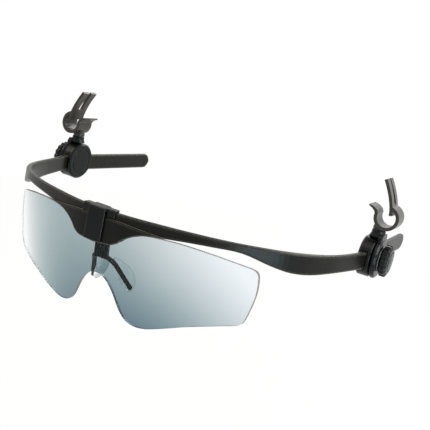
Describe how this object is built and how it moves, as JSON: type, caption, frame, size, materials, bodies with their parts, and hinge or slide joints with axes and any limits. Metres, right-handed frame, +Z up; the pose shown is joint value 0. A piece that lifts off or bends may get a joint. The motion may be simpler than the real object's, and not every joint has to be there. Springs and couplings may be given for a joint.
{
  "type": "clip-on safety glasses",
  "caption": "Clip-on safety glasses: a curved brow bar with one wrap lens and nose rest, hung from hat hooks on sliding, tilting arm clips with clamp knobs.",
  "frame": {"origin": "midway between the centres of the two hook rings, where a hat holds the glasses", "axes": "+X to the wearer's left, +Y to the back of the head, +Z up; the lens is at -Y"},
  "size_m": [0.2088, 0.1851, 0.0841],
  "materials": {
    "frame_nylon": "satin black injection-moulded nylon",
    "clip_plastic": "semi-gloss black ABS",
    "hook_nylon": "glossy dark grey-brown nylon",
    "smoke_lens": "light smoke polycarbonate with a silver flash mirror, polished",
    "clear_silicone": "clear soft silicone",
    "steel": "zinc-plated, bright",
    "grip_rubber": "matte black"
  },
  "bodies": {
    "frame": {"brow_bar": "frame_nylon", "centre_clip": "clip_plastic", "lens_carrier": "frame_nylon", "lens_shield": "smoke_lens", "nose_guide": "frame_nylon", "lens_screw_l": "steel", "lens_screw_r": "steel"},
    "nose_rest": {"nose_bridge": "frame_nylon", "nose_pad_l": "clear_silicone", "nose_pad_r": "clear_silicone"},
    "slider_l": {"arm_slider_l": "clip_plastic", "brake_shoe_l": "grip_rubber", "clamp_stud_l": "steel"},
    "neck_l": {"pivot_plate_l": "clip_plastic", "friction_washer_l": "steel", "swivel_pin_l": "steel"},
    "knob_l": {"clamp_knob_l": "clip_plastic", "knob_cap_l": "clip_plastic"},
    "hook_l": {"hat_hook_l": "hook_nylon"},
    "slider_r": {"arm_slider_r": "clip_plastic", "brake_shoe_r": "grip_rubber", "clamp_stud_r": "steel"},
    "neck_r": {"pivot_plate_r": "clip_plastic", "friction_washer_r": "steel", "swivel_pin_r": "steel"},
    "knob_r": {"clamp_knob_r": "clip_plastic", "knob_cap_r": "clip_plastic"},
    "hook_r": {"hat_hook_r": "hook_nylon"}
  },
  "joints": [
    {"name": "nose_slide", "type": "slide", "parent": "frame", "child": "nose_rest", "axis": [0, -0.1088, 0.9941], "range_m": [-0.003, 0.003]},
    {"name": "arm_slide_l", "type": "slide", "parent": "frame", "child": "slider_l", "axis": [-0.0593, 0.9976, -0.0349], "range_m": [-0.001, 0.055]},
    {"name": "neck_flip_l", "type": "hinge", "parent": "slider_l", "child": "neck_l", "pos_m": [0.0923, -0.00106, -0.02149], "axis": [0.9982, 0.0593, 0], "range_deg": [-20, 45]},
    {"name": "knob_turn_l", "type": "hinge", "parent": "slider_l", "child": "knob_l", "pos_m": [0.0923, -0.00106, -0.02149], "axis": [0.9982, 0.0593, 0], "range_deg": [0, 180]},
    {"name": "hook_swivel_l", "type": "hinge", "parent": "neck_l", "child": "hook_l", "pos_m": [0.09435, -0.00018, 0], "axis": [-0.0021, 0.0348, 0.9994], "range_deg": [-45, 45]},
    {"name": "arm_slide_r", "type": "slide", "parent": "frame", "child": "slider_r", "axis": [0.0593, 0.9976, -0.0349], "range_m": [-0.001, 0.055]},
    {"name": "neck_flip_r", "type": "hinge", "parent": "slider_r", "child": "neck_r", "pos_m": [-0.0923, -0.00106, -0.02149], "axis": [0.9982, -0.0593, 0], "range_deg": [-20, 45]},
    {"name": "knob_turn_r", "type": "hinge", "parent": "slider_r", "child": "knob_r", "pos_m": [-0.0923, -0.00106, -0.02149], "axis": [-0.9982, 0.0593, 0], "range_deg": [0, 180]},
    {"name": "hook_swivel_r", "type": "hinge", "parent": "neck_r", "child": "hook_r", "pos_m": [-0.09435, -0.00018, 0], "axis": [0.0021, 0.0348, 0.9994], "range_deg": [-45, 45]}
  ]
}
